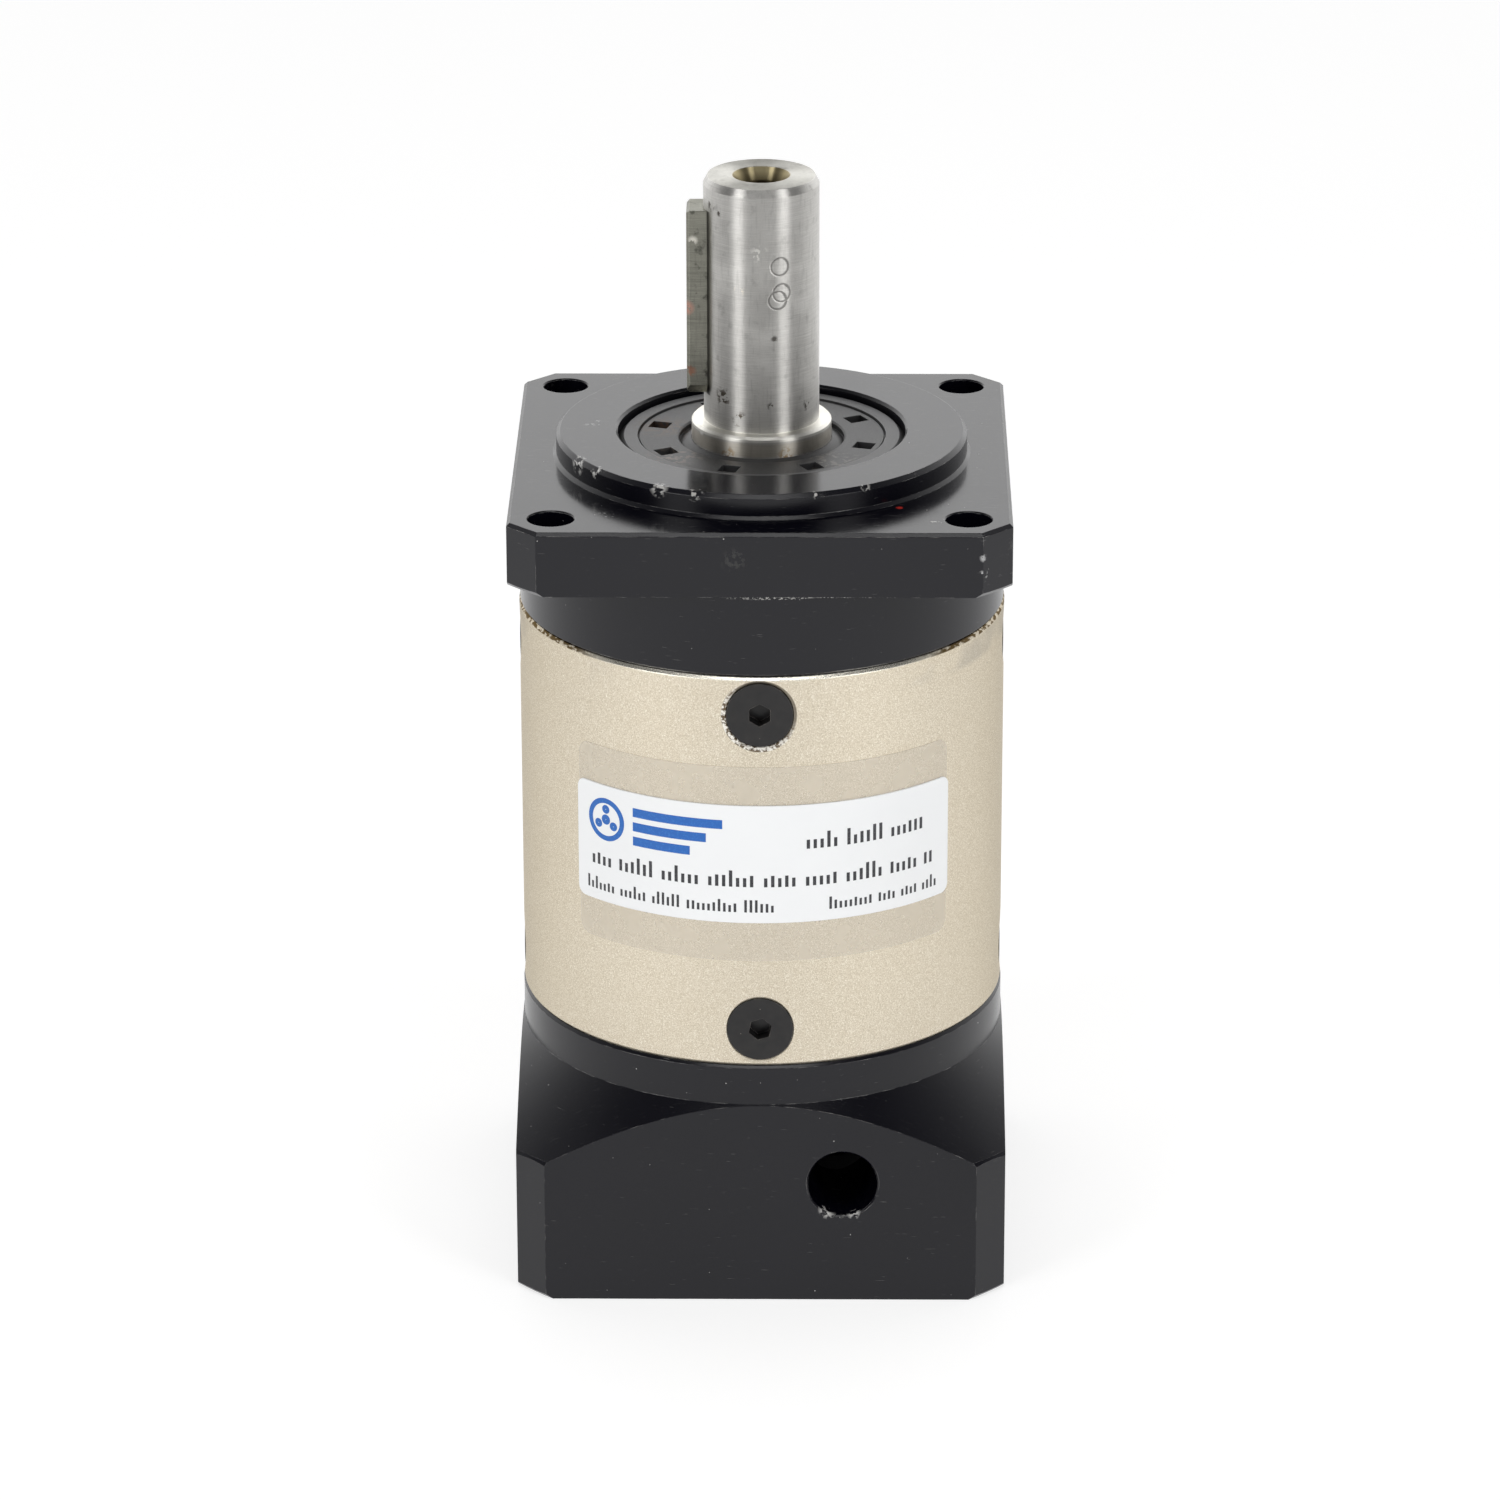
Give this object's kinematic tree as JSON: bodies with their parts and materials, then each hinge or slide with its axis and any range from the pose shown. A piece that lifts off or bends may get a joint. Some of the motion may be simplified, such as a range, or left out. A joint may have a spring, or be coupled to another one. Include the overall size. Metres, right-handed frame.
{
  "type": "planetary gearbox",
  "caption": "Inline planetary gearbox with a square output flange, keyed output shaft, champagne ring gear barrel and square motor adapter with a split clamp.",
  "frame": {"origin": "centre of the motor face, at the bottom of the bounding box", "axes": "+Z along the shafts from the motor face to the output shaft's end; the label and clamp access hole face -Y; the key is at -X"},
  "size_m": [0.06, 0.06, 0.135],
  "materials": {
    "black_anodised": "satin black anodised",
    "champagne_plate": "fine blasted, champagne plated steel",
    "ground_steel": "turned and ground steel",
    "key_steel": "drawn key steel",
    "gear_steel": "hardened gear steel",
    "bearing_steel": "polished bearing steel",
    "cage_steel": "pressed steel",
    "black_oxide": "black oxide steel",
    "spring_steel": "phosphated spring steel",
    "bronze": "bronze",
    "seal_rubber": "nitrile rubber",
    "label_paper": "white coated label",
    "clear_film": "clear film"
  },
  "bodies": {
    "root": {"output_housing": "black_anodised", "ring_gear_barrel": "champagne_plate", "motor_adapter": "black_anodised", "output_side_screws": "black_oxide", "input_side_screws": "black_oxide", "housing_o_ring": "seal_rubber", "adapter_o_ring": "seal_rubber", "label_film": "clear_film", "name_label": "label_paper", "output_seal": "seal_rubber", "output_seal_spring": "spring_steel", "input_seal": "seal_rubber", "front_bearing_outer_ring": "bearing_steel", "rear_bearing_outer_ring": "bearing_steel", "input_bearing_outer_ring": "bearing_steel", "housing_retaining_ring": "spring_steel", "input_housing_retaining_ring": "spring_steel"},
    "output_rotor": {"output_shaft": "ground_steel", "shaft_key": "key_steel", "front_bearing_inner_ring": "bearing_steel", "rear_bearing_inner_ring": "bearing_steel", "bearing_spacer": "cage_steel", "shaft_retaining_ring": "spring_steel", "planet_pins": "bearing_steel", "planet_thrust_washers": "bronze"},
    "input_rotor": {"input_shaft": "black_oxide", "sun_gear": "gear_steel", "clamp_screw": "black_oxide", "input_bearing_inner_ring": "bearing_steel", "input_shaft_retaining_ring": "spring_steel"},
    "front_ball_set": {"front_bearing_balls": "bearing_steel", "front_bearing_cage": "cage_steel"},
    "rear_ball_set": {"rear_bearing_balls": "bearing_steel", "rear_bearing_cage": "cage_steel"},
    "input_ball_set": {"input_bearing_balls": "bearing_steel", "input_bearing_cage": "cage_steel"},
    "planet_1": {"planet_gear_1": "gear_steel"},
    "planet_1_rollers": {"planet_rollers_1": "bearing_steel"},
    "planet_2": {"planet_gear_2": "gear_steel"},
    "planet_2_rollers": {"planet_rollers_2": "bearing_steel"},
    "planet_3": {"planet_gear_3": "gear_steel"},
    "planet_3_rollers": {"planet_rollers_3": "bearing_steel"}
  },
  "joints": [
    {"name": "output_spin", "type": "hinge", "parent": "root", "child": "output_rotor", "pos_m": [0, 0, 0.1], "axis": [0, 0, 1], "continuous": true},
    {"name": "input_spin", "type": "hinge", "parent": "root", "child": "input_rotor", "pos_m": [0, 0, 0.03], "axis": [0, 0, 1], "continuous": true},
    {"name": "planet_1_spin", "type": "hinge", "parent": "output_rotor", "child": "planet_1", "pos_m": [0.01575, 0, 0.055], "axis": [0, 0, 1], "continuous": true},
    {"name": "planet_1_rollers_spin", "type": "hinge", "parent": "output_rotor", "child": "planet_1_rollers", "pos_m": [0.01575, 0, 0.055], "axis": [0, 0, 1], "continuous": true},
    {"name": "planet_2_spin", "type": "hinge", "parent": "output_rotor", "child": "planet_2", "pos_m": [-0.00788, 0.01364, 0.055], "axis": [0, 0, 1], "continuous": true},
    {"name": "planet_2_rollers_spin", "type": "hinge", "parent": "output_rotor", "child": "planet_2_rollers", "pos_m": [-0.00788, 0.01364, 0.055], "axis": [0, 0, 1], "continuous": true},
    {"name": "planet_3_spin", "type": "hinge", "parent": "output_rotor", "child": "planet_3", "pos_m": [-0.00788, -0.01364, 0.055], "axis": [0, 0, 1], "continuous": true},
    {"name": "planet_3_rollers_spin", "type": "hinge", "parent": "output_rotor", "child": "planet_3_rollers", "pos_m": [-0.00788, -0.01364, 0.055], "axis": [0, 0, 1], "continuous": true},
    {"name": "front_balls_spin", "type": "hinge", "parent": "root", "child": "front_ball_set", "pos_m": [0, 0, 0.0896], "axis": [0, 0, 1], "continuous": true},
    {"name": "rear_balls_spin", "type": "hinge", "parent": "root", "child": "rear_ball_set", "pos_m": [0, 0, 0.0781], "axis": [0, 0, 1], "continuous": true},
    {"name": "input_balls_spin", "type": "hinge", "parent": "root", "child": "input_ball_set", "pos_m": [0, 0, 0.0347], "axis": [0, 0, 1], "continuous": true}
  ],
  "couplings": [
    {"joint": "input_spin", "follows": "output_spin", "ratio": 5},
    {"joint": "planet_1_spin", "follows": "output_spin", "ratio": -2.6667},
    {"joint": "planet_1_rollers_spin", "follows": "output_spin", "ratio": -1.6},
    {"joint": "planet_2_spin", "follows": "output_spin", "ratio": -2.6667},
    {"joint": "planet_2_rollers_spin", "follows": "output_spin", "ratio": -1.6},
    {"joint": "planet_3_spin", "follows": "output_spin", "ratio": -2.6667},
    {"joint": "planet_3_rollers_spin", "follows": "output_spin", "ratio": -1.6},
    {"joint": "front_balls_spin", "follows": "output_spin", "ratio": 0.40846},
    {"joint": "rear_balls_spin", "follows": "output_spin", "ratio": 0.41228},
    {"joint": "input_balls_spin", "follows": "output_spin", "ratio": 2.1635}
  ]
}
